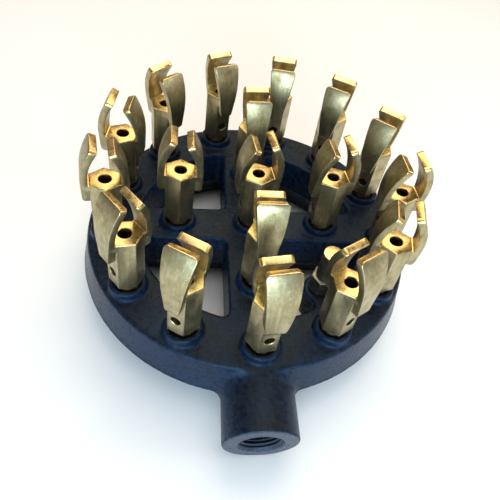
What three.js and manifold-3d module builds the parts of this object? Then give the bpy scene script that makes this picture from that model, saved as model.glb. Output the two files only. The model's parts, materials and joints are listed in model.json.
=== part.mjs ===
// Cast-iron ring burner with screwed-in brass slot jets, for a wok range.
// Millimetres, +Z up. The origin is the centre of the flat underside of the casting,
// and the threaded gas inlet points along -Y.
import * as THREE from 'three';
import { mergeVertices } from 'three/addons/utils/BufferGeometryUtils.js';
import Module from 'manifold-3d';

const wasm = await Module();
wasm.setup();

// ---- driving dimensions -------------------------------------------------
const FIT_GAP = 0.3;              // clearance kept between pieces that touch

const RING_TOP = 44;              // height of the flat top of the ring and spokes
const PARTING = 23;               // height of the mould's parting line and of the inlet axis
const RING_OUTER_TOP = 96.8;      // outer radius at the top of the side wall
const RING_OUTER_WIDE = 101.3;    // outer radius at the parting line
const RING_INNER_TOP = 68.6;      // inner radius at the top of the side wall
const RING_INNER_WIDE = 66;       // inner radius at the parting line
const RING_SEGMENTS = 52;

const CHANNEL_RADIUS = 84;        // centre line of the gas channel in the ring
const CHANNEL_HALF_WIDTH = 9.5;
const CHANNEL_LOW = 10;
const CHANNEL_HIGH = 35;

const SIDE_SPOKE_HALF = 12.6;     // half width of the left and right spokes at the top
const FEED_SPOKE_HALF = 15;       // half width of the front and back spokes at the top
const SPOKE_REACH = 74;           // spokes run this far from the centre, into the ring
const SPOKE_DRAFT = 0.9;          // how much a spoke widens from its top to the parting line

const KEEL_SLOPE = 0.62;          // how fast a wall draws in just below the parting line
const KEEL_KNEE = 11;             // height where it turns steeper
const RING_KEEL = 13;             // how far the ring's foot lies in from its widest line
const SPOKE_KEEL = 10.4;          // the same for a spoke

const HUB_SIDES = 24;
const HUB_RADIUS = 19.4;
const HUB_END = 125.7;            // distance of the inlet's face from the centre
const HUB_ROOT = 106;             // where the hub starts to flare into the ring
const HUB_FLARE = 3.2;
const HUB_FLARE_HEIGHT = 0.88;     // the flare's height as a share of its width
const INLET_RADIUS = 10.4;        // mouth of a half-inch pipe thread
const INLET_CHAMFER = 1.0;
const INLET_THREAD_LENGTH = 20;
const FEED_RADIUS = 8.6;          // drilled way from the thread to the channel

const BOSS_TOP = 49;              // height of the machined face that a jet seats on
const BOSS_RADIUS = 10.2;
const BOSS_EDGE = 1.5;            // rounding of a boss's rim
const BOSS_SIDES = 16;
const BOSS_ROOT = 9;              // how far a boss reaches below its face
const TAPPING_SIDES = 8;
const TAPPING_RADIUS = 7.4;       // quarter-inch pipe tapping
const TAPPING_DEPTH = 18;

const OUTER_COUNT = 13;
const OUTER_RADIUS = 84;          // pitch circle of the outer jets
const OUTER_LEAN = 3.4;           // degrees, towards the centre
const INNER_RADIUS = 44.4;        // distance of the four inner jets
const INNER_LEAN = 2.5;

const HEX_ACROSS_FLATS = 16;
const HEX_BASE = 2.5;             // thread left showing between the boss and the hexagon
const SADDLE_HEIGHT = 36.6;       // flat top of the hexagon, between the wings
const SHOULDER_HEIGHT = 24.2;       // underside of the wings
const WING_REACH = 12.2;          // from the jet's axis to the outside of a wing
const WING_THICKNESS = 3.7;
const LIP_OUTSIDE = 5.65;         // from the axis to the outside of a lip
const LIP_TILT = 24;              // degrees that a lip's end face leans into the slot
const TALL_LIP = 60.5;
const SHORT_LIP = 58.4;
const WING_HALF_LOW = 3.3;        // half width of a wing at its shoulder
const WING_HALF_HIGH = 8.1;       // half width of a wing at the tall lip
const CORNER_CUT = 1.8;           // chamfer on a wing's two upper corners
const ARC_STEPS = 4;
const BORE_RADIUS = 3.3;
const BORE_FLOOR = 4;
const ORIFICE_RADIUS = 1.2;
const AIR_HOLE_RADIUS = 2.7;
const AIR_HOLE_HEIGHT = 13.4;
const SHANK_TOP_RADIUS = 6.4;
const SHANK_LOW_RADIUS = 6.1;
const SHANK_LENGTH = 9.5;
const SHANK_SIDES = 10;

const PILOT_X = 37.4;
const PILOT_Y = -46.9;
const LUG_RADIUS = 9.6;
const LUG_LOW = 20;
const PILOT_HEX = 12.7;
const PILOT_HEX_HEIGHT = 11.5;
const PILOT_TAPPING_RADIUS = 5.5;
const PILOT_SHANK_RADIUS = 4.8;
const PILOT_STUB_RADIUS = 5.3;
const PILOT_STUB_TOP = 74.7;
const SPIGOT_RADIUS = 3.2;
const SPIGOT_LENGTH = 6;

// how far each jet was turned, in degrees, when its thread pulled tight; first the outer
// ones, counted from the inlet towards +X
const OUTER_TURNS = [9, 3, 20, 8, 30, 11, 5, 9, 2, 14, 4, 5, -2];
const INNER_JETS = [
  { name: 'inner_jet_front', around: 0, turn: 1 },
  { name: 'inner_jet_right', around: 90, turn: 6 },
  { name: 'inner_jet_back', around: 180, turn: 4 },
  { name: 'inner_jet_left', around: -90, turn: 2 },
];
const CENTRE_JET = { name: 'centre_jet', around: 90, turn: 8 };

// ---- finishes -----------------------------------------------------------
const CAST_IRON = { color: 0x24272c, roughness: 0.5, metalness: 0.4 };
const JET_BRASS = { color: 0xa08a4a, roughness: 0.35, metalness: 1 };
const PILOT_BRASS = { color: 0x8f7c45, roughness: 0.4, metalness: 1 };

const radians = THREE.MathUtils.degToRad;

// ---- solids from three.js geometry ----------------------------------------
// Signed volume of an indexed triangle mesh: negative when its faces point inwards.
function signedVolume(positions, index) {
  let total = 0;
  for (let i = 0; i < index.length; i += 3) {
    const [a, b, c] = [index[i] * 3, index[i + 1] * 3, index[i + 2] * 3];
    total += positions[a] * (positions[b + 1] * positions[c + 2] - positions[b + 2] * positions[c + 1])
      + positions[a + 1] * (positions[b + 2] * positions[c] - positions[b] * positions[c + 2])
      + positions[a + 2] * (positions[b] * positions[c + 1] - positions[b + 1] * positions[c]);
  }
  return total / 6;
}

function toSolid(geometry) {
  const bare = geometry.clone();
  bare.deleteAttribute('normal');
  bare.deleteAttribute('uv');
  const merged = mergeVertices(bare, 1e-4);
  const vertProperties = new Float32Array(merged.attributes.position.array);
  const triangles = [];
  const index = merged.index.array;
  for (let i = 0; i < index.length; i += 3) {
    const [a, b, c] = [index[i], index[i + 1], index[i + 2]];
    if (a !== b && b !== c && a !== c) triangles.push(a, b, c);
  }
  if (signedVolume(vertProperties, triangles) < 0) triangles.reverse();
  return new wasm.Manifold(new wasm.Mesh({
    numProp: 3, vertProperties, triVerts: new Uint32Array(triangles),
  }));
}

function toMesh(name, solid, finish) {
  const data = solid.getMesh();
  const geometry = new THREE.BufferGeometry();
  geometry.setAttribute('position', new THREE.BufferAttribute(data.vertProperties.slice(), 3));
  geometry.setIndex(new THREE.BufferAttribute(data.triVerts.slice(), 1));
  const mesh = new THREE.Mesh(geometry, new THREE.MeshStandardMaterial(finish));
  mesh.name = name;
  return mesh;
}

const joinAll = (solids) => solids.reduce((sum, solid) => sum.add(solid));

// An upright round bar between two heights, tapered if its end radii differ.
function roundBar(low, high, lowRadius, highRadius, segments) {
  const geometry = new THREE.CylinderGeometry(highRadius, lowRadius, high - low, segments);
  geometry.rotateX(Math.PI / 2);
  geometry.translate(0, 0, (low + high) / 2);
  return geometry;
}

// A hexagonal bar whose flats face +Y and -Y.
function hexBar(low, high, acrossFlats) {
  const radius = acrossFlats / Math.sqrt(3);
  const geometry = roundBar(low, high, radius, radius, 6);
  geometry.rotateZ(Math.PI / 6 + Math.PI / 3);
  return geometry;
}

// A closed profile of [radius, height] points turned round the Z axis.
function turned(profile, segments) {
  const closed = [...profile, profile[0]];
  const geometry = new THREE.LatheGeometry(closed.map(([r, z]) => new THREE.Vector2(r, z)), segments);
  geometry.rotateX(Math.PI / 2);
  return geometry;
}

// An outline of [across, height] points carried straight along Y, from -half to +half.
function straightAlongY(outline, half) {
  const shape = new THREE.Shape(outline.map(([x, z]) => new THREE.Vector2(x, z)));
  const geometry = new THREE.ExtrudeGeometry(shape, { depth: 2 * half, bevelEnabled: false });
  geometry.translate(0, 0, -half);
  geometry.rotateX(Math.PI / 2);
  return geometry;
}

// ---- where the jets stand ---------------------------------------------------
// A jet's own frame has its axis on +Z, its slot along X and its tall lip towards -Y.
function jetPlace(radius, around, lean, turn) {
  const angle = radians(around);
  const place = new THREE.Matrix4()
    .makeTranslation(radius * Math.sin(angle), -radius * Math.cos(angle), BOSS_TOP);
  place.multiply(new THREE.Matrix4().makeRotationZ(angle));
  place.multiply(new THREE.Matrix4().makeRotationX(-radians(lean)));
  place.multiply(new THREE.Matrix4().makeRotationZ(radians(turn)));
  return place;
}

function jetPlaces() {
  const places = [];
  for (let i = 0; i < OUTER_COUNT; i += 1) {
    const name = `outer_jet_${String(i + 1).padStart(2, '0')}`;
    const around = (360 / OUTER_COUNT) * i;
    places.push({ name, place: jetPlace(OUTER_RADIUS, around, OUTER_LEAN, OUTER_TURNS[i]) });
  }
  for (const { name, around, turn } of INNER_JETS) {
    places.push({ name, place: jetPlace(INNER_RADIUS, around, INNER_LEAN, turn) });
  }
  places.push({
    name: CENTRE_JET.name,
    place: jetPlace(0, CENTRE_JET.around, 0, CENTRE_JET.turn),
  });
  return places;
}

// ---- the casting ----------------------------------------------------------
// Below the parting line every wall draws in like a keel, to a narrow flat foot. Each point
// of the keel is [how far it has drawn in, height], from the foot up.
const keel = (foot) => [
  [foot, 0],
  [foot - 1.8, 3],
  [KEEL_SLOPE * (PARTING - KEEL_KNEE), KEEL_KNEE],
];

function ringBody() {
  const edge = 1.8;
  const belly = keel(RING_KEEL);
  return toSolid(turned([
    ...belly.map(([inset, z]) => [RING_OUTER_WIDE - inset, z]),
    [RING_OUTER_WIDE, PARTING],
    [RING_OUTER_TOP, RING_TOP - edge],
    [RING_OUTER_TOP - edge, RING_TOP],
    [RING_INNER_TOP + edge, RING_TOP],
    [RING_INNER_TOP, RING_TOP - edge],
    [RING_INNER_WIDE, PARTING],
    ...belly.reverse().map(([inset, z]) => [RING_INNER_WIDE + inset, z]),
  ], RING_SEGMENTS));
}

// A spoke is flat on top, drafted down to the parting line, and has the same keel.
function spokeBody(halfWidth) {
  const wide = halfWidth + SPOKE_DRAFT;
  const edge = 1.4;
  const right = [
    ...keel(SPOKE_KEEL).map(([inset, z]) => [wide - inset, z]),
    [wide, PARTING],
    [halfWidth, RING_TOP - edge],
    [halfWidth - edge, RING_TOP],
  ];
  const left = right.map(([x, z]) => [-x, z]).reverse();
  return straightAlongY([...right, ...left], SPOKE_REACH);
}

function spokes() {
  const across = spokeBody(SIDE_SPOKE_HALF);
  across.rotateZ(Math.PI / 2);
  return toSolid(spokeBody(FEED_SPOKE_HALF)).add(toSolid(across));
}

// The inlet hub: a round bar on the parting plane that flares sideways where it meets the ring.
function hubBody() {
  const straight = roundBar(CHANNEL_RADIUS, HUB_END, HUB_RADIUS, HUB_RADIUS, HUB_SIDES);
  const flare = roundBar(CHANNEL_RADIUS, HUB_ROOT, HUB_RADIUS + HUB_FLARE, HUB_RADIUS, HUB_SIDES);
  flare.scale(1, HUB_FLARE_HEIGHT, 1);
  for (const bar of [straight, flare]) {
    bar.rotateX(Math.PI / 2);
    bar.translate(0, 0, PARTING);
  }
  return toSolid(straight).add(toSolid(flare));
}

function bossBody() {
  const lower = toSolid(roundBar(-BOSS_ROOT, -BOSS_EDGE, BOSS_RADIUS, BOSS_RADIUS, BOSS_SIDES));
  const rim = toSolid(roundBar(-BOSS_EDGE - 0.01, 0, BOSS_RADIUS, BOSS_RADIUS - BOSS_EDGE, BOSS_SIDES));
  return lower.add(rim);
}

// The lug inside the ring that carries the pilot, with a web back to the ring's wall.
function pilotLug() {
  const lug = roundBar(LUG_LOW, RING_TOP, LUG_RADIUS - 2, LUG_RADIUS, BOSS_SIDES);
  lug.translate(PILOT_X, PILOT_Y, 0);
  const outward = Math.atan2(PILOT_Y, PILOT_X);
  const reach = 14;
  const web = new THREE.BoxGeometry(reach, 2 * LUG_RADIUS - 5, RING_TOP - LUG_LOW - 5);
  web.translate(reach / 2, 0, 0);
  web.rotateZ(outward);
  web.translate(PILOT_X, PILOT_Y, (RING_TOP + LUG_LOW + 4) / 2);
  return toSolid(lug).add(toSolid(web));
}

// The gas ways: a ring channel, two crossing channels and the tapped inlet.
function gasWays() {
  const inner = CHANNEL_RADIUS - CHANNEL_HALF_WIDTH;
  const outer = CHANNEL_RADIUS + CHANNEL_HALF_WIDTH;
  const ring = toSolid(turned([
    [inner + 6, CHANNEL_LOW],
    [outer - 6, CHANNEL_LOW],
    [outer, PARTING],
    [outer - 4, CHANNEL_HIGH],
    [inner + 4, CHANNEL_HIGH],
    [inner, PARTING],
  ], RING_SEGMENTS));
  const way = (halfWidth) => straightAlongY([
    [-halfWidth / 2, CHANNEL_LOW + 3],
    [halfWidth / 2, CHANNEL_LOW + 3],
    [halfWidth, PARTING],
    [halfWidth, CHANNEL_HIGH],
    [-halfWidth, CHANNEL_HIGH],
    [-halfWidth, PARTING],
  ], CHANNEL_RADIUS - 5);
  const side = way(SIDE_SPOKE_HALF - 6);
  side.rotateZ(Math.PI / 2);
  const threadEnd = HUB_END - INLET_THREAD_LENGTH;
  const mouth = roundBar(
    HUB_END - INLET_CHAMFER, HUB_END + 0.01, INLET_RADIUS, INLET_RADIUS + INLET_CHAMFER, HUB_SIDES);
  const thread = roundBar(threadEnd, HUB_END, INLET_RADIUS, INLET_RADIUS, HUB_SIDES);
  const feed = roundBar(CHANNEL_RADIUS, HUB_END, FEED_RADIUS, FEED_RADIUS, HUB_SIDES);
  for (const bar of [mouth, thread, feed]) {
    bar.rotateX(Math.PI / 2);
    bar.translate(0, 0, PARTING);
  }
  return joinAll([ring, ...[way(FEED_SPOKE_HALF - 7), side, mouth, thread, feed].map(toSolid)]);
}

function tapping() {
  return roundBar(-TAPPING_DEPTH, 1, TAPPING_RADIUS, TAPPING_RADIUS, TAPPING_SIDES);
}

function casting(places) {
  const bosses = places.map(({ place }) => bossBody().transform(place.elements));
  const tappings = places.map(({ place }) => toSolid(tapping()).transform(place.elements));
  const pilotTapping = roundBar(
    LUG_LOW + 6, RING_TOP + 1, PILOT_TAPPING_RADIUS, PILOT_TAPPING_RADIUS, TAPPING_SIDES);
  pilotTapping.translate(PILOT_X, PILOT_Y, 0);
  const outside = joinAll([ringBody(), spokes(), hubBody(), pilotLug(), ...bosses]);
  return outside.subtract(joinAll([gasWays(), toSolid(pilotTapping), ...tappings]));
}

// ---- a jet ------------------------------------------------------------------
// Outline of one wing across the slot, as [distance from the axis, height] points: straight
// up from the shoulder, then an arc that leans in to the lip.
function wingOutline(lipHeight) {
  const drop = WING_REACH - LIP_OUTSIDE;
  const bendStart = lipHeight - 21.5;
  const bend = ((lipHeight - bendStart) ** 2 + drop ** 2) / (2 * drop);
  const sweep = Math.asin((lipHeight - bendStart) / bend);
  const arc = (radius) => {
    const points = [];
    for (let i = 0; i <= ARC_STEPS; i += 1) {
      const angle = (sweep * i) / ARC_STEPS;
      points.push([
        WING_REACH - bend + radius * Math.cos(angle),
        bendStart + radius * Math.sin(angle),
      ]);
    }
    return points;
  };
  const outside = arc(bend);
  const inside = arc(bend - WING_THICKNESS);
  const tilt = radians(LIP_TILT);
  inside[ARC_STEPS] = [
    LIP_OUTSIDE - WING_THICKNESS * Math.cos(tilt),
    lipHeight - WING_THICKNESS * Math.sin(tilt),
  ];
  const root = HEX_ACROSS_FLATS / 2 - 1;
  return [
    [root, SHOULDER_HEIGHT],
    [WING_REACH, SHOULDER_HEIGHT],
    ...outside,
    ...inside.reverse(),
    [WING_REACH - WING_THICKNESS, SADDLE_HEIGHT - 0.5],
    [root, SADDLE_HEIGHT - 0.5],
  ];
}

// The face-on outline that both wings are trimmed to: narrow at the shoulder, wide at the
// lip, with its two upper corners cut off.
function wingTrim(lipHeight) {
  const slope = (WING_HALF_HIGH - WING_HALF_LOW) / (TALL_LIP - SHOULDER_HEIGHT);
  const halfAt = (height) => WING_HALF_LOW + slope * (height - SHOULDER_HEIGHT);
  const right = [
    [WING_HALF_LOW - slope, SHOULDER_HEIGHT - 1],
    [halfAt(lipHeight - CORNER_CUT), lipHeight - CORNER_CUT],
    [halfAt(lipHeight) - CORNER_CUT, lipHeight],
    [halfAt(lipHeight) - CORNER_CUT, lipHeight + 1],
  ];
  const left = right.map(([x, z]) => [-x, z]).reverse();
  return toSolid(straightAlongY([...right, ...left], WING_REACH + 2));
}

function wing(lipHeight, side) {
  const plate = straightAlongY(wingOutline(lipHeight), WING_HALF_HIGH + 1);
  plate.rotateZ(side * Math.PI / 2);
  return toSolid(plate).intersect(wingTrim(lipHeight));
}

function jet() {
  const body = toSolid(hexBar(HEX_BASE, SADDLE_HEIGHT, HEX_ACROSS_FLATS));
  const shank = toSolid(
    roundBar(-SHANK_LENGTH, HEX_BASE + 1, SHANK_LOW_RADIUS, SHANK_TOP_RADIUS, SHANK_SIDES));
  const bore = toSolid(roundBar(BORE_FLOOR, SADDLE_HEIGHT + 1, BORE_RADIUS, BORE_RADIUS, 10));
  const orifice = toSolid(
    roundBar(-SHANK_LENGTH - 1, BORE_FLOOR + 1, ORIFICE_RADIUS, ORIFICE_RADIUS, 6));
  const airHole = roundBar(-HEX_ACROSS_FLATS, HEX_ACROSS_FLATS, AIR_HOLE_RADIUS, AIR_HOLE_RADIUS, 8);
  airHole.rotateX(Math.PI / 2);
  airHole.translate(0, 0, AIR_HOLE_HEIGHT);
  return joinAll([body, shank, wing(TALL_LIP, -1), wing(SHORT_LIP, 1)])
    .subtract(joinAll([bore, orifice, toSolid(airHole)]));
}

// ---- the pilot ----------------------------------------------------------------
const pilotHexTop = RING_TOP + FIT_GAP + PILOT_HEX_HEIGHT;

function pilotFitting() {
  const body = toSolid(hexBar(RING_TOP + FIT_GAP, pilotHexTop, PILOT_HEX));
  const shank = toSolid(roundBar(
    RING_TOP - SHANK_LENGTH, RING_TOP + 1, PILOT_SHANK_RADIUS, PILOT_SHANK_RADIUS, SHANK_SIDES));
  const bore = toSolid(roundBar(
    RING_TOP - SHANK_LENGTH - 1, pilotHexTop + 1, SPIGOT_RADIUS + FIT_GAP, SPIGOT_RADIUS + FIT_GAP, 12));
  return body.add(shank).subtract(bore);
}

function pilotStub() {
  const low = pilotHexTop + FIT_GAP;
  const edge = 0.6;
  const bar = toSolid(roundBar(low, PILOT_STUB_TOP - edge, PILOT_STUB_RADIUS, PILOT_STUB_RADIUS, 20));
  const rim = toSolid(roundBar(
    PILOT_STUB_TOP - edge - 0.01, PILOT_STUB_TOP, PILOT_STUB_RADIUS, PILOT_STUB_RADIUS - edge, 20));
  const spigot = toSolid(roundBar(low - SPIGOT_LENGTH, low + 1, SPIGOT_RADIUS, SPIGOT_RADIUS, 12));
  return joinAll([bar, rim, spigot]);
}

// ---- the assembly ---------------------------------------------------------------
function burner() {
  const group = new THREE.Group();
  const places = jetPlaces();
  group.add(toMesh('manifold_casting', casting(places), CAST_IRON));
  const oneJet = jet();
  for (const { name, place } of places) {
    const mesh = toMesh(name, oneJet, JET_BRASS);
    place.decompose(mesh.position, mesh.quaternion, mesh.scale);
    group.add(mesh);
  }
  const pilot = new THREE.Group();
  pilot.position.set(PILOT_X, PILOT_Y, 0);
  pilot.add(toMesh('pilot_fitting', pilotFitting(), PILOT_BRASS));
  pilot.add(toMesh('pilot_stub', pilotStub(), PILOT_BRASS));
  group.add(pilot);
  return group;
}

export default burner();
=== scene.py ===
# %% [markdown]
# # A cast-iron ring burner with brass slot jets
# The object is a gas burner for a wok range: a black ring casting with a cross of spokes, a
# threaded inlet hub, and eighteen upright brass jets screwed into raised bosses.
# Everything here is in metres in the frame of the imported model, +Z up, with the inlet towards -Y.

# %% Load the fixed frame
import json
import math

import bpy
import numpy as np
from mathutils import Matrix, Vector


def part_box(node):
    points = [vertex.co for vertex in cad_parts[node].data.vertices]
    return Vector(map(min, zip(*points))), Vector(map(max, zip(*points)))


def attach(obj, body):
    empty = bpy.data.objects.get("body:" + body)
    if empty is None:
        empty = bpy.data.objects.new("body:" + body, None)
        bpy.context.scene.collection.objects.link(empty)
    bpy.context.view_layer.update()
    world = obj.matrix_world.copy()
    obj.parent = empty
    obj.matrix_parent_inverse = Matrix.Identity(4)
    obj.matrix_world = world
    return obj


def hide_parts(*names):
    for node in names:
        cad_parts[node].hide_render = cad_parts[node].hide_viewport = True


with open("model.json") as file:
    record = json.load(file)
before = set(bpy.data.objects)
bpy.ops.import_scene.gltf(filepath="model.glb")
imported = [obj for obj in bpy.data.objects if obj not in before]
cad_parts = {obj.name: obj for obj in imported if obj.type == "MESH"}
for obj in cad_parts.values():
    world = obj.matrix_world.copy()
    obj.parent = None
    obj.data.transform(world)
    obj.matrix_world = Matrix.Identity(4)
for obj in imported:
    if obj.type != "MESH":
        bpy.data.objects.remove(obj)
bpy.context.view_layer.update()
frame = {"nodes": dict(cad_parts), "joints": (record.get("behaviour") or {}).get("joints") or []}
MM = 0.001

# %% [markdown]
# ## Where things are
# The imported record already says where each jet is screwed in: its joint holds a point on the
# boss face and the jet's leaning axis. How far each jet was turned before its thread pulled tight
# is read from its own solid, whose tall lip is the highest part along that axis.

# %% Read the places of the jets
SEATS = {joint["child"]: joint for joint in frame["joints"]}
LIP_SLACK = 0.1


def vectors(items, key):
    """A vector that each point or face of a mesh holds, for all of them, as a (count, 3) array."""
    values = np.empty(len(items) * 3)
    items.foreach_get(key, values)
    return values.reshape(-1, 3)


def jet_place(name):
    """The matrix from a jet's own frame to the burner's: Z along its axis, the slot along X and
    the tall lip towards -Y. The tall lip is the mean of the points that lie highest on the axis."""
    seat = np.array(SEATS[name]["pos_m"])
    up = np.array(SEATS[name]["axis"])
    offset = vectors(frame["nodes"][name].data.vertices, "co") - seat
    height = offset @ up
    lip = offset[height > height.max() - LIP_SLACK * MM].mean(axis=0)
    tall = lip - up * (lip @ up)
    back = -tall / np.linalg.norm(tall)
    slot = np.cross(back, up)
    place = np.eye(4)
    place[:3, 0], place[:3, 1], place[:3, 2], place[:3, 3] = slot, back, up, seat
    return place


PLACES = {name: jet_place(name) for name in sorted(SEATS)}
BOSS_TOP = PLACES["centre_jet"][2, 3] / MM
print(len(PLACES), "jets, boss faces at", round(BOSS_TOP, 1), "mm")

# %% [markdown]
# ## Helpers that put arrays into meshes
# A surface is computed as whole arrays of points, then handed to Blender in one go. A grid of
# points needs only a rule for its faces: each one joins a point, its neighbour along the row and
# the two beyond them in the next row.

# %% Mesh helpers


def new_object(name, points, faces):
    """A mesh object from an array of points and a list or array of faces."""
    mesh = bpy.data.meshes.new(name)
    mesh.from_pydata(points, [], faces)
    mesh.update()
    made = bpy.data.objects.new(name, mesh)
    bpy.context.scene.collection.objects.link(made)
    return made


def ring_faces(rows, columns):
    """Faces of a grid whose columns close into a loop, as on a tube, with a flat cap at each end."""
    row, column = np.meshgrid(np.arange(rows - 1), np.arange(columns), indexing="ij")
    beside = (column + 1) % columns
    quads = np.stack([row * columns + column, row * columns + beside,
                      (row + 1) * columns + beside, (row + 1) * columns + column], axis=-1)
    first = list(range(columns))[::-1]
    last = list(range((rows - 1) * columns, rows * columns))
    return quads.reshape(-1, 4).tolist() + [first, last]


def shell(name, grid):
    """A closed skin over a (rows, columns, 3) grid of points. Its loops run anticlockwise seen
    from the last row, so the faces point outwards."""
    rows, columns, _ = grid.shape
    return new_object(name, grid.reshape(-1, 3).tolist(), ring_faces(rows, columns))


def boolean(target, tool, operation):
    """Joins the tool to the target, or cuts it away, and bakes the result into the mesh."""
    step = target.modifiers.new(operation, "BOOLEAN")
    step.operation = operation
    step.solver = "EXACT"
    step.object = tool
    graph = bpy.context.evaluated_depsgraph_get()
    baked = bpy.data.meshes.new_from_object(target.evaluated_get(graph))
    target.modifiers.clear()
    target.data = baked
    bpy.data.objects.remove(tool)
    return target


def finish_piece(piece, body, slot, *nodes):
    """The piece rides on its body and stands for the CAD nodes. The slot is not used."""
    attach(piece, body)
    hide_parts(*nodes)
    print(piece.name, len(piece.data.polygons), "faces")


def put_attribute(mesh, name, values):
    """Stores one number per point, which a material reads by name."""
    layer = mesh.attributes.new(name, "FLOAT", "POINT")
    layer.data.foreach_set("value", np.ascontiguousarray(values, np.float32))


def put_own_place(mesh, places):
    """Stores where each point lies on its own jet, so that a pattern follows the jet's lean."""
    layer = mesh.attributes.new("along_jet", "FLOAT_VECTOR", "POINT")
    layer.data.foreach_set("vector", places.astype(np.float32).ravel())


# %% [markdown]
# ## The casting as a distance field
# A sand casting has no sharp corners: each wall flows into the next in a fillet, and each edge is
# rounded. Bevels on a joined mesh break down where a dozen walls meet, so the casting is worked
# out as a field instead: a function that gives the distance from any point to the metal, below
# zero inside it. Two walls are joined with a true round fillet, or cut with a true round edge, by
# one line each.

# %% Joining and cutting distances


def joined(a, b, fillet):
    """The lesser of two distances, but where both are under the fillet's radius, the distance to
    a circle of that radius that touches both walls."""
    corner = np.hypot(np.maximum(fillet - a, 0), np.maximum(fillet - b, 0))
    return np.maximum(np.minimum(a, b), fillet) - corner


def trimmed(a, b, edge):
    """The greater of two distances, with the outside edge between them rounded to a radius."""
    corner = np.hypot(np.maximum(a + edge, 0), np.maximum(b + edge, 0))
    return np.minimum(np.maximum(a, b), -edge) + corner


# %% [markdown]
# The ring and the cross of spokes are one shape seen from above, so they are joined as an outline
# first, and that outline is then cut flat at the top and at the foot. The walls lean by the
# mould's draft up to the parting line, halfway up, where they are widest and a hair of flash is
# left. Below it they draw in like a boat's keel.

# %% Outline of the ring and the spokes
RING_TOP = 44.0
PARTING = 23.0
RING_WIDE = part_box("manifold_casting")[1].x / MM
RING_HOLE = 66.0
OUTER_DRAFT = 0.214
INNER_DRAFT = 0.124
KEEL_SLOPE = 0.62
KEEL_DEPTH = 12.0
KEEL_FOOT = 0.3
SIDE_SPOKE_HALF = 12.6
FEED_SPOKE_HALF = 15.0
SPOKE_DRAFT = 0.9
SPOKE_REACH = 78.0
PLAN_FILLET = 5.0
TOP_EDGE = 1.8
FOOT_EDGE = 2.0
FLASH = 0.25
FLASH_SPREAD = 0.9


def draft(z, above):
    """How far a wall has drawn back at height z: by its own slope above the parting line, and
    below it by the keel's slope, which eases off at the keel's depth."""
    depth = PARTING - z
    keel = KEEL_SLOPE * np.minimum(depth, KEEL_DEPTH) + KEEL_FOOT * np.maximum(depth - KEEL_DEPTH, 0)
    return np.where(z > PARTING, above * (z - PARTING), keel)


def flash(z):
    """The thin line of metal left where the two halves of the mould met."""
    return FLASH * np.exp(-((z - PARTING) / FLASH_SPREAD) ** 2)


def spoke_walls(across, along, z, half):
    """Distance to a pair of parallel drafted walls, that far from a spoke's middle line."""
    above = SPOKE_DRAFT / (RING_TOP - PARTING)
    return np.maximum(np.abs(across) - half - SPOKE_DRAFT + draft(z, above) - flash(z),
                      np.abs(along) - SPOKE_REACH)


def plan_walls(x, y, z):
    """Distance to the walls of the ring and spokes, with no top or foot yet."""
    radius = np.hypot(x, y)
    outer = radius - RING_WIDE + FLASH + draft(z, OUTER_DRAFT) - flash(z)
    inner = RING_HOLE + draft(z, INNER_DRAFT) - flash(z) - radius
    cross = joined(spoke_walls(x, y, z, FEED_SPOKE_HALF),
                   spoke_walls(y, x, z, SIDE_SPOKE_HALF), PLAN_FILLET)
    return joined(np.maximum(outer, inner), cross, PLAN_FILLET)


# %% [markdown]
# The inlet hub is a round bar on the parting plane that swells into the ring's wall. A lug inside
# the ring carries the pilot. The bosses are short leaning cylinders with a rounded rim, a small
# fillet at the root and a tapped hole. Last, the inlet is bored out to take its thread.

# %% Hub, lug, bosses and bore
HUB_RADIUS = 19.4
HUB_END = -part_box("manifold_casting")[0].y / MM
HUB_START = 88.0
HUB_EDGE = 0.9
HUB_FILLET = 4.5
LUG_RADIUS = 9.6
LUG_FOOT = 20.0
LUG_EDGE = 3.0
LUG_WEB = 14.0
LUG_DRAFT = 0.05
LUG_FILLET = 5.0
BOSS_RADIUS = 10.2
BOSS_EDGE = 1.5
BOSS_ROOT = 9.0
BOSS_FILLET = 1.6
TAPPING_RADIUS = 7.1
TAPPING_DEPTH = 11.0
TAPPING_EDGE = 0.5
WAVINESS = 0.05
BORE_RADIUS = 11.7
BORE_END = 70.0
fitting_low, fitting_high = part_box("pilot_fitting")
PILOT_X = (fitting_low.x + fitting_high.x) / 2 / MM
PILOT_Y = (fitting_low.y + fitting_high.y) / 2 / MM


def hub_field(x, y, z):
    """Distance to a bar along Y on the parting plane, its end edge rounded."""
    side = np.hypot(x, z - PARTING) - HUB_RADIUS
    return np.maximum(trimmed(side, -HUB_END - y, HUB_EDGE), y + HUB_START)


def lug_field(x, y, z):
    """Distance to the pilot's lug: a capsule in plan from the lug's middle out to the ring."""
    outward = np.array([PILOT_X, PILOT_Y]) / math.hypot(PILOT_X, PILOT_Y)
    dx, dy = x - PILOT_X, y - PILOT_Y
    along = np.clip(dx * outward[0] + dy * outward[1], 0, LUG_WEB)
    side = np.hypot(dx - along * outward[0], dy - along * outward[1]) - LUG_RADIUS
    return trimmed(side + LUG_DRAFT * (RING_TOP - z), LUG_FOOT - z, LUG_EDGE)


def about_jet(x, y, z, place):
    """How far each point is from a jet's axis, and how high it is above the jet's seat."""
    dx, dy, dz = x - place[0, 3] / MM, y - place[1, 3] / MM, z - place[2, 3] / MM
    height = dx * place[0, 2] + dy * place[1, 2] + dz * place[2, 2]
    radial = np.sqrt(np.maximum(dx * dx + dy * dy + dz * dz - height * height, 0))
    return radial, height


def with_boss(body, radial, height):
    """The body with a boss joined to it, and the boss tapped: a hole is a distance turned round."""
    boss = np.maximum(trimmed(radial - BOSS_RADIUS, height, BOSS_EDGE), -BOSS_ROOT - height)
    hole = np.maximum(radial - TAPPING_RADIUS, -TAPPING_DEPTH - height)
    return trimmed(joined(body, boss, BOSS_FILLET), -hole, TAPPING_EDGE)


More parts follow.
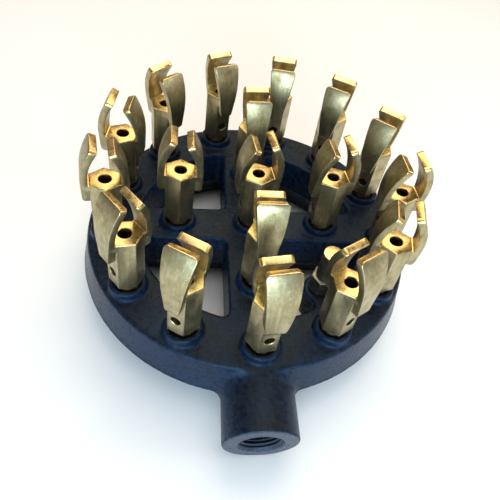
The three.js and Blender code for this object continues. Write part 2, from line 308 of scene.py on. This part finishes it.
def waviness(x, y, z):
    """The slow swell that a sand mould leaves: two crossed waves, about twenty millimetres from
    crest to crest, each bent by a third so that they never keep step with the ring."""
    across = np.sin(x * 0.31 + 1.3 * np.sin(y * 0.17))
    along = np.sin(y * 0.27 + 1.1 * np.sin(z * 0.23))
    return WAVINESS * (across * along)


def casting_field(x, y, z):
    """Distance from each point to the surface of the whole casting, in millimetres."""
    walls = joined(plan_walls(x, y, z), hub_field(x, y, z), HUB_FILLET)
    walls = joined(walls, lug_field(x, y, z), LUG_FILLET)
    body = trimmed(trimmed(walls, z - RING_TOP, TOP_EDGE), -z, FOOT_EDGE)
    for place in PLACES.values():
        body = with_boss(body, *about_jet(x, y, z, place))
    bore = np.hypot(x, z - PARTING) - BORE_RADIUS
    return np.maximum(body + waviness(x, y, z), -np.maximum(bore, y + BORE_END))


# %% [markdown]
# ## From a field to a skin
# The field is sampled on a lattice of small cubes. Every cube that the surface passes through gets
# one point, and every lattice edge that crosses the surface gets one square face between the four
# cubes round it. Each point then slides down the field's slope until its distance is zero, so the
# skin lies exactly on the shape and the lattice doesn't show. The slope is also the true normal,
# and it is given to the mesh, which keeps every fillet smooth.

# %% Skin of a field
CELL = 1.3
LOW_MARGIN, HIGH_MARGIN = 2.3, 2.6
SETTLING_STEPS = 5
STEP_ASIDE = 0.02


def lattice_faces(inside, cube_number):
    """One square for each lattice edge with one end inside, wound so that it faces out."""
    squares = []
    for axis in range(3):
        turn = (axis, (axis + 1) % 3, (axis + 2) % 3)
        solid = inside.transpose(turn)
        number = cube_number.transpose(turn)
        here, there = solid[:-1, 1:-1, 1:-1], solid[1:, 1:-1, 1:-1]
        i, j, k = np.nonzero(here != there)
        around = np.stack([number[i, j, k], number[i, j + 1, k],
                           number[i, j + 1, k + 1], number[i, j, k + 1]], axis=1)
        leaving = solid[i, j + 1, k + 1]
        squares.append(np.where(leaving[:, None], around, around[:, ::-1]))
    return np.concatenate(squares)


def slope(field, points):
    """Unit direction in which the field grows fastest, from its values a step to either side."""
    parts = []
    for axis in np.eye(3) * STEP_ASIDE:
        ahead, behind = (points + axis).T, (points - axis).T
        parts.append(field(*ahead) - field(*behind))
    grown = np.stack(parts, axis=1)
    return grown / np.linalg.norm(grown, axis=1, keepdims=True)


def skin(field, low, high):
    """Points, square faces and normals of the surface where the field is zero."""
    axes = [np.arange(a, b, CELL) for a, b in zip(low, high)]
    inside = field(*np.meshgrid(*axes, indexing="ij")) < 0
    shape = tuple(n - 1 for n in inside.shape)
    count = np.zeros(shape, np.int8)
    for i, j, k in np.ndindex(2, 2, 2):
        count += inside[i:i + shape[0], j:j + shape[1], k:k + shape[2]]
    crossed = (count > 0) & (count < 8)
    number = np.full(shape, -1)
    number[crossed] = np.arange(crossed.sum())
    points = np.argwhere(crossed) * CELL + CELL / 2 + np.array(low)
    for _ in range(SETTLING_STEPS):
        points = points - slope(field, points) * field(*points.T)[:, None]
    return points, lattice_faces(inside, number), slope(field, points)


low = [v / MM - LOW_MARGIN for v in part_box("manifold_casting")[0]]
high = [v / MM + HIGH_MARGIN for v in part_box("manifold_casting")[1]]
skin_points, skin_faces, skin_normals = skin(casting_field, low, high)
print("casting:", len(skin_points), "points,", len(skin_faces), "faces")

# %% The casting
FACED_DEPTH = 0.6

casting = new_object("burner_casting", (skin_points * MM).tolist(), skin_faces.tolist())
casting.data.shade_smooth()
casting.data.normals_split_custom_set_from_vertices(skin_normals.tolist())
# The normal's height, read by the enamel for its painted reflections: brown facing up, blue on walls.
put_attribute(casting.data, "upward", skin_normals[:, 2])
faced_end = skin_points[:, 1] < FACED_DEPTH - HUB_END
put_attribute(casting.data, "turned_face", faced_end.astype(float))
finish_piece(casting, "casting", "cast_iron", "manifold_casting")

# %% [markdown]
# ## The inlet's thread
# A half-inch pipe thread has fourteen turns to the inch. Its bore is a grid round the axis and
# along it, whose radius rises and falls with the turn: a triangle wave of the distance along the
# axis less the share of a turn already made, with its tips a little blunted. The outside wall of
# the sleeve is hidden in the hub.

# %% Thread of the inlet
INCH = 25.4
THREAD_PITCH = INCH / 14
THREAD_DEPTH = 1.25
THREAD_MOUTH = 10.9
THREAD_LENGTH = 22.0
THREAD_START = 1.2
MOUTH_CHAMFER = 0.9
RUN_IN = 1.5
TAPER = 1 / 32
SLEEVE_WALL = 0.6
SLEEVE_EDGE = 0.35
WAVE_STRETCH, WAVE_DROP = 1.25, 0.12
AROUND, ALONG = 96, 190
THREAD_CREASE = math.radians(35)


def thread_sleeve():
    """A sleeve round the hub's axis: its lip, a chamfer, then a threaded bore that narrows by one
    part in thirty-two of its length on the radius, and back along a plain outside wall."""
    angle = np.linspace(0, 2 * np.pi, AROUND, endpoint=False)[None, :]
    turned = np.linspace(THREAD_START, THREAD_LENGTH, ALONG)
    depth = np.concatenate([[0, MOUTH_CHAMFER], turned])[:, None]
    turns = depth / THREAD_PITCH - angle / (2 * np.pi)
    wave = np.clip(np.abs((turns % 1) * 2 - 1) * WAVE_STRETCH - WAVE_DROP, 0, 1)
    run_in = np.clip((depth - MOUTH_CHAMFER) / RUN_IN, 0, 1)
    inside = THREAD_MOUTH - depth * TAPER - THREAD_DEPTH * wave * run_in
    inside[0] = THREAD_MOUTH + MOUTH_CHAMFER
    wall = np.full_like(angle, BORE_RADIUS + SLEEVE_WALL)
    edge = np.full_like(angle, BORE_RADIUS + SLEEVE_WALL / 3)
    rows = [(inside, depth), (wall, [[THREAD_LENGTH]]), (wall, [[SLEEVE_EDGE]]), (edge, [[0.0]])]
    radius = np.concatenate([r for r, _ in rows])
    back = np.concatenate([np.broadcast_to(d, r.shape) for r, d in rows])
    return np.stack([radius * np.cos(angle), back - HUB_END,
                     PARTING + radius * np.sin(angle)], axis=-1)


def loop_faces(rows, columns):
    """Faces of a grid that closes both ways, as on a ring doughnut."""
    row, column = np.meshgrid(np.arange(rows), np.arange(columns), indexing="ij")
    below, beside = (row + 1) % rows, (column + 1) % columns
    quads = np.stack([row * columns + column, row * columns + beside,
                      below * columns + beside, below * columns + column], axis=-1)
    return quads.reshape(-1, 4)


sleeve = thread_sleeve()
thread = new_object("inlet_thread", (sleeve.reshape(-1, 3) * MM).tolist(),
                    loop_faces(*sleeve.shape[:2]).tolist())
thread.data.shade_smooth()
thread.data.set_sharp_from_angle(angle=THREAD_CREASE)
put_attribute(thread.data, "turned_face", np.ones(len(thread.data.vertices)))
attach(thread, "casting")

# %% [markdown]
# ## A brass jet
# Each jet starts as hexagon bar. Two of its flats carry a wing, which rises straight, then bends
# inwards until the two sawn lips leave a narrow slot. Gas comes up the bore and air through the
# cross hole. The bar is a rounded hexagon carried upwards, a wing is a rounded rectangle carried
# along its bend, and the bores are turned shapes cut away.

# %% Hexagon bar
ACROSS_FLATS = 16.0
CORNER_RADIUS = 0.5
SADDLE = 36.6


def hexagon_loop(across_flats, corner, steps):
    """Points of a hexagon with flats facing +Y and -Y and its corners rounded: six arcs, each
    about a centre that lies in from the corner, as (6 * steps, 2)."""
    middle = np.radians(np.arange(6) * 60)[:, None]
    sweep = np.radians(np.linspace(-30, 30, steps))[None, :]
    centre = (across_flats / 2 - corner) / math.cos(math.radians(30))
    x = centre * np.cos(middle) + corner * np.cos(middle + sweep)
    y = centre * np.sin(middle) + corner * np.sin(middle + sweep)
    return np.stack([x, y], axis=-1).reshape(-1, 2)


def hexagon_bar(across_flats, stations):
    """The rounded hexagon carried up through (height, inset) stations, as a grid."""
    rows = []
    for height, inset in stations:
        loop = hexagon_loop(across_flats - 2 * inset, CORNER_RADIUS, 5)
        rows.append(np.column_stack([loop, np.full(len(loop), height)]))
    return np.stack(rows)


# %% Wing
WING_REACH = 12.2
WING_THICKNESS = 3.7
LIP_OUTSIDE = 5.65
LIP_TILT = math.radians(24)
BEND_DROP = 21.5
SHOULDER = 24.2
TALL_LIP, SHORT_LIP = 60.5, 58.4
HALF_LOW, HALF_HIGH = 3.3, 8.1
CORNER_ROUND = 2.1
WING_EDGE = 0.4
ROOT_DEPTH = 1.8
SHOULDER_ROUND = 2.2
SHOULDER_SHAVE = 1.3
SHOULDER_PINCH = 0.3
LIP_EDGE = 0.2
LIP_INSET = 0.22


def wing_loop(half_width, thickness, edge, steps=4):
    """A rounded rectangle as (across, depth) points, depth 0 on the outside of the wing."""
    middle = np.radians([45, 135, 225, 315])[:, None]
    sweep = np.radians(np.linspace(-45, 45, steps))[None, :]
    centre_x = np.array([1, -1, -1, 1])[:, None] * (half_width - edge)
    centre_y = np.array([1, 1, -1, -1])[:, None] * (thickness / 2 - edge)
    x = centre_x + edge * np.cos(middle + sweep)
    y = centre_y + edge * np.sin(middle + sweep)
    return x.ravel(), thickness / 2 - y.ravel()


def wing_grid(lip, fullness):
    """A wing as a rounded rectangle carried up the shoulder and round the bend. Its outside stands
    straight, then follows an arc that drops in to the lip. Its half width grows from the shoulder
    as a power of the height: the lower that power, the fuller its sides."""
    drop = WING_REACH - LIP_OUTSIDE
    bend = (BEND_DROP ** 2 + drop ** 2) / (2 * drop)
    start = lip - BEND_DROP
    heights = np.unique(np.concatenate([
        SHOULDER + np.array([0, 0.15, 0.5, 1.2, SHOULDER_ROUND]),
        np.linspace(SHOULDER + 3.5, lip - 2.6, 26), SADDLE - np.array([0.7, 0.2]),
        lip - CORNER_ROUND * (1 - np.sin(np.linspace(0, np.pi / 2, 8))),
        lip - np.array([LIP_EDGE, LIP_EDGE / 2])]))
    rows = []
    for height in heights:
        angle = math.asin(max(0, height - start) / bend)
        lean = min(angle, LIP_TILT)
        reach = WING_REACH - bend + bend * math.cos(angle)
        share = (height - SHOULDER) / (TALL_LIP - SHOULDER)
        half = HALF_LOW + (HALF_HIGH - HALF_LOW) * share ** fullness
        into_corner = max(0, height - lip + CORNER_ROUND)
        half -= CORNER_ROUND - math.sqrt(CORNER_ROUND ** 2 - into_corner ** 2)
        low_end = max(0, 1 - (height - SHOULDER) / SHOULDER_ROUND) ** 2
        inset = LIP_INSET * max(0, 1 - (lip - height) / LIP_EDGE) ** 2
        shave = SHOULDER_SHAVE * low_end
        root = ROOT_DEPTH * min(1, max(0, (SADDLE - 0.2 - height) / 0.5))
        x, depth = wing_loop(half - inset - SHOULDER_PINCH * low_end,
                             WING_THICKNESS + root - 2 * inset - shave, WING_EDGE - 0.6 * inset)
        depth = depth + inset + shave
        rows.append(np.column_stack([x, depth * math.cos(lean) - reach,
                                     height - depth * math.sin(lean)]))
    return np.stack(rows)


# %% Bores and taper thread
BORE = 3.3
BORE_FLOOR = 4.0
ORIFICE = 1.2
AIR_HOLE = 2.7
AIR_HOLE_HEIGHT = 13.4
HEX_BASE = 2.5
SHANK_PITCH = INCH / 18
SHANK_RADIUS = 6.4
SHANK_END = -9.5
SHANK_DEPTH = 0.5
NECK = 0.5
HOLE_CHAMFER = 0.25
BORE_CHAMFER = 0.45
OVERRUN = 2.0


def turned_grid(stations, sides=40):
    """A profile of (height, radius) stations turned about Z."""
    angle = np.linspace(0, 2 * np.pi, sides, endpoint=False)
    height = np.array([h for h, _ in stations])[:, None]
    radius = np.array([r for _, r in stations])[:, None]
    return np.stack([radius * np.cos(angle), radius * np.sin(angle),
                     np.broadcast_to(height, (len(stations), sides))], axis=-1)


def laid_along_y(grid, height):
    """The same grid with its axis turned from Z to -Y and lifted."""
    return np.stack([grid[..., 0], -grid[..., 2], grid[..., 1] + height], axis=-1)


def shank_grid(sides=36):
    """The quarter-inch pipe thread under the hexagon: a radius that rises and falls with the
    height less the share of a turn made, narrows by one in thirty-two, and runs out in a neck."""
    angle = np.linspace(0, 2 * np.pi, sides, endpoint=False)[None, :]
    height = np.linspace(SHANK_END, HEX_BASE + 0.6, 60)[:, None]
    wave = np.abs((height / SHANK_PITCH - angle / (2 * np.pi)) % 1 * 2 - 1)
    groove = SHANK_DEPTH * np.where(height > HEX_BASE - NECK, 1, wave)
    radius = SHANK_RADIUS + height * TAPER - groove
    return np.stack([radius * np.cos(angle), radius * np.sin(angle),
                     np.broadcast_to(height, radius.shape)], axis=-1)


def jet_pattern(fullness):
    """One jet in its own frame, in millimetres, with its bores cut."""
    bar = shell("jet_pattern", hexagon_bar(ACROSS_FLATS, [
        (HEX_BASE, 1.5), (HEX_BASE + 0.25, 0.9), (HEX_BASE + 0.8, 0.3), (HEX_BASE + 1.5, 0),
        (35.9, 0), (36.3, 0.12), (36.52, 0.35), (SADDLE, 0.65)]))
    boolean(bar, shell("tall_wing", wing_grid(TALL_LIP, fullness)), "UNION")
    boolean(bar, shell("short_wing", wing_grid(SHORT_LIP, fullness) * [-1, -1, 1]), "UNION")
    boolean(bar, shell("shank", shank_grid()), "UNION")
    bore = [(BORE_FLOOR, ORIFICE), (BORE_FLOOR + 2.2, BORE), (SADDLE - 0.35, BORE),
            (SADDLE + 0.1, BORE + BORE_CHAMFER), (SADDLE + OVERRUN, BORE + BORE_CHAMFER)]
    boolean(bar, shell("bore", turned_grid(bore)), "DIFFERENCE")
    orifice = [(SHANK_END - OVERRUN, ORIFICE), (BORE_FLOOR + 0.5, ORIFICE)]
    boolean(bar, shell("orifice", turned_grid(orifice, 16)), "DIFFERENCE")
    side, mouth = ACROSS_FLATS / 2, AIR_HOLE + HOLE_CHAMFER
    hole = [(-side - OVERRUN, mouth), (-side, mouth), (HOLE_CHAMFER - side, AIR_HOLE),
            (side - HOLE_CHAMFER, AIR_HOLE), (side, mouth), (side + OVERRUN, mouth)]
    air_hole = shell("air_hole", laid_along_y(turned_grid(hole), AIR_HOLE_HEIGHT))
    return boolean(bar, air_hole, "DIFFERENCE")


PLAIN_WINGS, FULL_WINGS = 0.85, 0.4
PATTERNS = {fullness: jet_pattern(fullness) for fullness in (PLAIN_WINGS, FULL_WINGS)}
print("jet patterns:", [len(pattern.data.polygons) for pattern in PATTERNS.values()], "faces")

# %% [markdown]
# The jets are cut from the same bar, so one pattern serves for all of them but the front one, whose
# wings are fuller. Each gets its own mesh in its own place, with its own coordinates stored on its
# points: the lines of the drawn bar run along the jet, whichever way it leans. Faces that a saw or
# a cutter made get the second finish, and the bores and the thread get the third, a dark brown
# that is painted shade.

# %% Set the jets in their places
FULL_JET = "outer_jet_01"
PATCH_SPACING = 90
WALL_SLACK = 0.05
SADDLE_SLACK = 0.4
LEVEL, SLOPING = 0.55, 0.3
BRASS_CREASE = math.radians(32)


def finish_numbers(mesh):
    """0 for the drawn bar, 1 for each face that was sawn or milled (the two lips, their corners
    and the saddle) and 2 for the walls of the bores and the thread, which get a dark painted shade."""
    normal, centre = vectors(mesh.polygons, "normal"), vectors(mesh.polygons, "center")
    lip_height = np.where(centre[:, 1] < 0, TALL_LIP, SHORT_LIP)
    at_lip = (centre[:, 2] > lip_height - CORNER_ROUND) & (normal[:, 2] > LEVEL)
    at_corner = (centre[:, 2] > lip_height - 2 * CORNER_ROUND) & (normal[:, 2] > SLOPING)
    at_corner &= np.abs(normal[:, 0]) > 0.5
    at_saddle = np.abs(centre[:, 2] - SADDLE) < SADDLE_SLACK
    at_saddle &= np.abs(centre[:, 1]) < ACROSS_FLATS / 2 + 0.2
    cut = at_lip | at_corner | (at_saddle & (normal[:, 2] > SLOPING))
    in_bore = np.hypot(centre[:, 0], centre[:, 1]) < BORE + WALL_SLACK
    in_bore &= centre[:, 2] < SADDLE - SADDLE_SLACK
    in_hole = np.hypot(centre[:, 0], centre[:, 2] - AIR_HOLE_HEIGHT) < AIR_HOLE + WALL_SLACK
    in_hole &= np.abs(centre[:, 1]) < ACROSS_FLATS / 2 - HOLE_CHAMFER - WALL_SLACK
    # Painted shade: the bores, the air hole and all below the hexagon get the dark brown of shade.
    in_shade = in_bore | in_hole | (centre[:, 2] < HEX_BASE + 0.1)
    return np.where(in_shade, 2, cut.astype(int))


def set_jet(number, name, finishes):
    """A copy of the pattern carried to its place, with its own coordinates kept as an attribute,
    each jet's a spacing further along, so that no two jets have the same patches."""
    mesh = PATTERNS[FULL_WINGS if name == FULL_JET else PLAIN_WINGS].data.copy()
    put_own_place(mesh, (vectors(mesh.vertices, "co") + [0, 0, PATCH_SPACING * number]) * MM)
    for finish in finishes:
        mesh.materials.append(finish)
    mesh.polygons.foreach_set("material_index", finish_numbers(mesh).astype(np.int32))
    mesh.transform(Matrix((PLACES[name] @ np.diag([MM, MM, MM, 1])).tolist()))
    mesh.shade_smooth()
    mesh.set_sharp_from_angle(angle=BRASS_CREASE)
    made = bpy.data.objects.new("brass_" + name, mesh)
    bpy.context.scene.collection.objects.link(made)
    finish_piece(made, name, "jet_brass", name)


# %% [markdown]
# ## Finishes
# A small vocabulary keeps the node trees readable: a noise, a ramp that picks two levels of it,
# a blend of two colours, and a bump.

# %% Node helpers


class Finish:
    """A material under construction: nodes are made by name and joined as arguments."""

    def __init__(self, name, metallic):
        self.material = bpy.data.materials.new(name)
        self.material.use_nodes = True
        self.tree = self.material.node_tree
        self.shader = self.tree.nodes["Principled BSDF"]
        self.shader.inputs["Metallic"].default_value = metallic
        self.place = self.node("ShaderNodeTexCoord").outputs["Object"]

    def node(self, kind, settings=(), **inputs):
        """A node of that kind. Inputs are numbers, colours or the outputs of other nodes."""
        made = self.tree.nodes.new(kind)
        for key, value in settings:
            setattr(made, key, value)
        for key, value in inputs.items():
            self.set(made.inputs[int(key[1:]) if key[0] == "i" and key[1:].isdigit() else key], value)
        return made

    def set(self, socket, value):
        if isinstance(value, bpy.types.NodeSocket):
            self.tree.links.new(value, socket)
        else:
            socket.default_value = value

    def attribute(self, name, output="Fac"):
        return self.node("ShaderNodeAttribute", [("attribute_name", name)]).outputs[output]

    def stretched(self, place, scale):
        return self.node("ShaderNodeMapping", i0=place, i3=scale).outputs[0]

    def noise(self, place, scale, detail=4.0, roughness=0.55):
        made = self.node("ShaderNodeTexNoise", Vector=place, Scale=scale, Detail=detail,
                         Roughness=roughness)
        return made.outputs["Fac"]

    def levels(self, value, low, high, new_low=0.0, new_high=1.0):
        """Stretches a value so that low and high become new_low and new_high, and clamps it."""
        made = self.node("ShaderNodeMapRange", i0=value, i1=low, i2=high, i3=new_low, i4=new_high)
        return made.outputs[0]

    def maths(self, operation, a, b):
        return self.node("ShaderNodeMath", [("operation", operation)], i0=a, i1=b).outputs[0]

    def blend(self, share, a, b):
        settings = [("data_type", "RGBA")]
        return self.node("ShaderNodeMix", settings, i0=share, i6=a, i7=b).outputs[2]

    def bump(self, height, distance, strength=1.0, normal=None):
        made = self.node("ShaderNodeBump", Height=height, Distance=distance, Strength=strength)
        if normal is not None:
            self.set(made.inputs["Normal"], normal)
        return made.outputs[0]


def colour(red, green, blue):
    return (red, green, blue, 1.0)


# %% [markdown]
# Black enamel over sand-cast iron is semi-gloss, and the sand's grain shows through it as fine
# pimples. The surfaces that face up are painted a brown that is partly dust and partly a painted
# reflection of the warm room above. The walls are painted a blue-black that is a painted reflection
# of the cool window. The hub's end was faced on a lathe, so it is bare grey iron.

# %% Enamelled casting


def enamel_finish():
    make = Finish("enamelled_iron", 0.0)
    grain = make.noise(make.place, 1400.0, 3.0, 0.65)
    sand = make.noise(make.place, 330.0, 4.0, 0.6)
    cloud = make.noise(make.place, 38.0, 3.0)
    # Painted reflection: up-facing faces get a warm brown (partly dust), walls a blue window sheen.
    upward = make.levels(make.attribute("upward"), 0.55, 0.95)
    dust_and_warm_reflection = make.maths("MULTIPLY", upward, make.levels(cloud, 0.35, 0.62, 0.45, 1.0))
    blue_sheen_black = make.blend(make.levels(sand, 0.4, 0.62), colour(0.003, 0.010, 0.026),
                            colour(0.007, 0.020, 0.052))
    brown = make.blend(make.levels(sand, 0.38, 0.64), colour(0.004, 0.004, 0.006),
                       colour(0.014, 0.011, 0.012))
    enamel = make.blend(dust_and_warm_reflection, blue_sheen_black, brown)
    facing = make.levels(make.attribute("turned_face"), 0.4, 0.9)
    bare = make.blend(make.levels(grain, 0.35, 0.65), colour(0.018, 0.026, 0.045),
                      colour(0.045, 0.055, 0.080))
    make.set(make.shader.inputs["Base Color"], make.blend(facing, enamel, bare))
    make.set(make.shader.inputs["Roughness"], make.levels(sand, 0.35, 0.7, 0.24, 0.38))
    make.shader.inputs["IOR"].default_value = 1.3
    make.shader.inputs["Specular Tint"].default_value = colour(0.55, 0.8, 1.0)
    coarse = make.bump(sand, 0.00035, 0.9)
    make.set(make.shader.inputs["Normal"], make.bump(grain, 0.00024, 1.0, coarse))
    return make.material


ENAMEL = enamel_finish()
casting.data.materials.append(ENAMEL)
thread.data.materials.append(ENAMEL)

# %% [markdown]
# Drawn brass keeps fine lines along the bar. Handling and air have dulled it to olive, unevenly,
# and small bright nicks catch the light. The sawn lips and the milled saddle are fresh metal: more
# yellow, smoother, with marks across the cut. The bores, the air hole and the thread are painted a
# dark red-brown that stands for the shade inside them.

# %% Drawn and cut brass, and the painted shade of the bores


def drawn_brass():
    make = Finish("drawn_brass", 1.0)
    own = make.attribute("along_jet", "Vector")
    lines = make.noise(make.stretched(own, (1.0, 1.0, 0.035)), 2600.0, 3.0, 0.6)
    wide_lines = make.noise(make.stretched(own, (1.0, 1.0, 0.05)), 700.0, 3.0)
    patches = make.noise(own, 160.0, 4.0, 0.6)
    scuffs = make.noise(own, 1100.0, 2.0, 0.7)
    clean = make.blend(make.levels(wide_lines, 0.35, 0.65), colour(0.38, 0.33, 0.18),
                       colour(0.52, 0.455, 0.28))
    dull = make.blend(make.levels(scuffs, 0.4, 0.6), colour(0.24, 0.19, 0.085),
                      colour(0.36, 0.29, 0.14))
    tarnish = make.levels(patches, 0.42, 0.68, 0.0, 0.75)
    nick = make.levels(scuffs, 0.67, 0.74)
    skin_colour = make.blend(nick, make.blend(tarnish, clean, dull), colour(0.92, 0.86, 0.66))
    make.set(make.shader.inputs["Base Color"], skin_colour)
    rough = make.levels(patches, 0.35, 0.7, 0.32, 0.50)
    make.set(make.shader.inputs["Roughness"], rough)
    waves = make.bump(patches, 0.00025, 0.5)
    make.set(make.shader.inputs["Normal"], make.bump(lines, 0.00002, 0.7, waves))
    return make.material


def cut_brass():
    make = Finish("cut_brass", 1.0)
    own = make.attribute("along_jet", "Vector")
    saw = make.noise(make.stretched(own, (0.12, 1.0, 1.0)), 2200.0, 3.0, 0.6)
    patches = make.noise(own, 420.0, 3.0, 0.6)
    make.set(make.shader.inputs["Base Color"],
             make.blend(make.levels(patches, 0.35, 0.66), colour(0.70, 0.46, 0.16),
                        colour(0.86, 0.65, 0.30)))
    make.set(make.shader.inputs["Roughness"], make.levels(patches, 0.35, 0.7, 0.24, 0.42))
    make.set(make.shader.inputs["Normal"], make.bump(saw, 0.00004, 0.8))
    return make.material


# Painted shade: a dark red-brown for the walls of the bores, the air hole and the thread.
def bore_shade_brass():
    make = Finish("bore_shade_brass", 0.6)
    own = make.attribute("along_jet", "Vector")
    patches = make.noise(own, 500.0, 3.0, 0.6)
    make.set(make.shader.inputs["Base Color"],
             make.blend(make.levels(patches, 0.35, 0.65), colour(0.035, 0.014, 0.006),
                        colour(0.10, 0.055, 0.022)))
    make.set(make.shader.inputs["Roughness"], make.levels(patches, 0.35, 0.7, 0.5, 0.7))
    make.set(make.shader.inputs["Normal"], make.bump(patches, 0.0001, 0.7))
    return make.material


DRAWN, CUT, BORE_SHADE = drawn_brass(), cut_brass(), bore_shade_brass()
for number, name in enumerate(PLACES):
    set_jet(number, name, (DRAWN, CUT, BORE_SHADE))
for pattern in PATTERNS.values():
    bpy.data.objects.remove(pattern)

# %% [markdown]
# ## The pilot
# A small hexagon fitting is screwed into the lug, and a short stub stands in it. The hexagon's top
# was turned to a cone at the corners, which leaves the bright arcs of a nut. The stub is dull, with
# a freshly faced end.

# %% Pilot fitting and stub
PILOT_FLATS = 12.7
stub_low, stub_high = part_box("pilot_stub")
STUB_RADIUS = (stub_high.x - stub_low.x) / 2 / MM
STUB_TOP = stub_high.z / MM
HEX_FOOT = RING_TOP + 0.3
HEX_HEAD = fitting_high.z / MM
CONE_SLOPE = math.tan(math.radians(30))
FACING = 0.3


def at_pilot(grid):
    """A grid in the pilot's own frame, carried to the pilot and turned to metres."""
    return (grid + np.array([PILOT_X, PILOT_Y, 0])) * MM


def nut_grid():
    """The rounded hexagon with its top cut by a 30 degree cone: a corner drops by the tangent of
    30 degrees times how far it lies beyond the inscribed circle."""
    rows = []
    for height, inset in [(HEX_FOOT, 0.5), (HEX_FOOT + 0.5, 0), (HEX_FOOT + 5, 0), (HEX_HEAD, 0)]:
        loop = hexagon_loop(PILOT_FLATS - 2 * inset, 0.35, 9)
        beyond = np.hypot(*loop.T) - PILOT_FLATS / 2
        drop = CONE_SLOPE * np.maximum(beyond, 0) if height == HEX_HEAD else 0
        rows.append(np.column_stack([loop, np.full(len(loop), height) - drop]))
    rim = rows[-1].copy()
    rim[:, :2] *= ((PILOT_FLATS / 2 - 0.3) / np.hypot(*rim[:, :2].T))[:, None]
    rim[:, 2] = HEX_HEAD
    return np.stack([*rows, rim])


fitting = shell("pilot_nut", at_pilot(nut_grid()))
stub_stations = [(HEX_HEAD - 6, 3.0), (HEX_HEAD + 0.3, 3.1), (HEX_HEAD + 0.35, STUB_RADIUS - 0.4),
                 (HEX_HEAD + 0.75, STUB_RADIUS), (STUB_TOP - 1.3, STUB_RADIUS),
                 (STUB_TOP - 1.1, STUB_RADIUS - 0.25), (STUB_TOP - 0.9, STUB_RADIUS),
                 (STUB_TOP - 0.35, STUB_RADIUS), (STUB_TOP - 0.1, STUB_RADIUS - 0.12),
                 (STUB_TOP, STUB_RADIUS - 0.4)]
stub = shell("pilot_stub_tube", at_pilot(turned_grid(stub_stations, 64)))


def dull_brass():
    make = Finish("dull_brass", 1.0)
    patches = make.noise(make.place, 300.0, 4.0, 0.6)
    scuffs = make.noise(make.place, 1300.0, 2.0, 0.7)
    make.set(make.shader.inputs["Base Color"],
             make.blend(make.levels(patches, 0.35, 0.65), colour(0.16, 0.15, 0.12),
                        colour(0.30, 0.28, 0.20)))
    make.set(make.shader.inputs["Roughness"], make.levels(scuffs, 0.35, 0.7, 0.34, 0.55))
    make.set(make.shader.inputs["Normal"], make.bump(scuffs, 0.00006, 0.7))
    return make.material


DULL = dull_brass()
for piece, node in ((fitting, "pilot_fitting"), (stub, "pilot_stub")):
    put_own_place(piece.data, vectors(piece.data.vertices, "co"))
    piece.data.materials.append(DULL)
    piece.data.materials.append(CUT)
    faced = vectors(piece.data.polygons, "center")[:, 2] / MM > STUB_TOP - FACING
    piece.data.polygons.foreach_set("material_index", faced.astype(np.int32))
    piece.data.shade_smooth()
    piece.data.set_sharp_from_angle(angle=BRASS_CREASE)
    finish_piece(piece, "casting", "pilot_brass", node)

# %% [markdown]
# ## Studio
# A pale floor, a large cool window in front, a soft ceiling and a warm room above and behind: the
# walls that face the viewer pick up blue, and everything that faces up picks up gold or brown.

# %% Floor, lights and world
FLOOR_HALF = 3.0
floor = new_object("studio_floor", [(-FLOOR_HALF, -FLOOR_HALF, 0), (FLOOR_HALF, -FLOOR_HALF, 0),
                                    (FLOOR_HALF, FLOOR_HALF, 0), (-FLOOR_HALF, FLOOR_HALF, 0)],
                   [(0, 1, 2, 3)])
floor_paint = Finish("floor_paint", 0.0)
floor_paint.shader.inputs["Base Color"].default_value = colour(0.88, 0.88, 0.88)
floor_paint.shader.inputs["Roughness"].default_value = 0.9
floor.data.materials.append(floor_paint.material)

MIDDLE = Vector((0, 0, BOSS_TOP * MM))


def area_light(name, azimuth, elevation, distance, size, power, tint):
    """A lamp that faces the burner from an azimuth, measured from -Y towards +X."""
    lamp = bpy.data.lights.new(name, "AREA")
    lamp.shape = "RECTANGLE"
    lamp.size, lamp.size_y = size
    lamp.energy = power
    lamp.color = tint
    turn, lift = math.radians(azimuth), math.radians(elevation)
    away = Vector((math.sin(turn) * math.cos(lift), -math.cos(turn) * math.cos(lift),
                   math.sin(lift)))
    made = bpy.data.objects.new(name, lamp)
    made.location = MIDDLE + away * distance
    made.rotation_euler = away.to_track_quat("Z", "Y").to_euler()
    bpy.context.scene.collection.objects.link(made)


area_light("window", -8, 16, 1.0, (0.8, 0.4), 12, (0.62, 0.84, 1.0))
area_light("ceiling", 0, 89, 1.3, (1.2, 1.2), 9, (0.95, 0.97, 1.0))
area_light("room_above", 165, 58, 1.2, (1.0, 0.8), 9, (1.0, 0.84, 0.62))
area_light("side_fill", 80, 25, 1.3, (0.5, 0.5), 3, (0.95, 0.97, 1.0))

world = bpy.data.worlds.new("pale_room")
world.use_nodes = True
world.node_tree.nodes["Background"].inputs["Color"].default_value = colour(0.86, 0.79, 0.68)
world.node_tree.nodes["Background"].inputs["Strength"].default_value = 0.24
bpy.context.scene.world = world
bpy.context.scene.view_settings.view_transform = "Standard"

# %% [markdown]
# ## Camera
# The camera stands close, in front of the inlet and a little to its left, looks down at about
# fifty degrees and is held with a slight roll, which is what makes the burner look tipped.

# %% Camera
CAMERA_OFFSET = Vector((-36.98, -189.34, 202.18)) * MM
YAW, PITCH, ROLL = math.radians(11.97), math.radians(-50.29), math.radians(10.76)
LENS = 32.59

camera_data = bpy.data.cameras.new("camera")
camera_data.lens = LENS
camera_data.clip_start = 0.01
camera = bpy.data.objects.new("camera", camera_data)
camera.location = MIDDLE + CAMERA_OFFSET
camera.rotation_euler = (Matrix.Rotation(-YAW, 3, "Z") @ Matrix.Rotation(math.radians(90) + PITCH, 3, "X")
                         @ Matrix.Rotation(ROLL, 3, "Z")).to_euler()
bpy.context.scene.collection.objects.link(camera)
bpy.context.scene.camera = camera
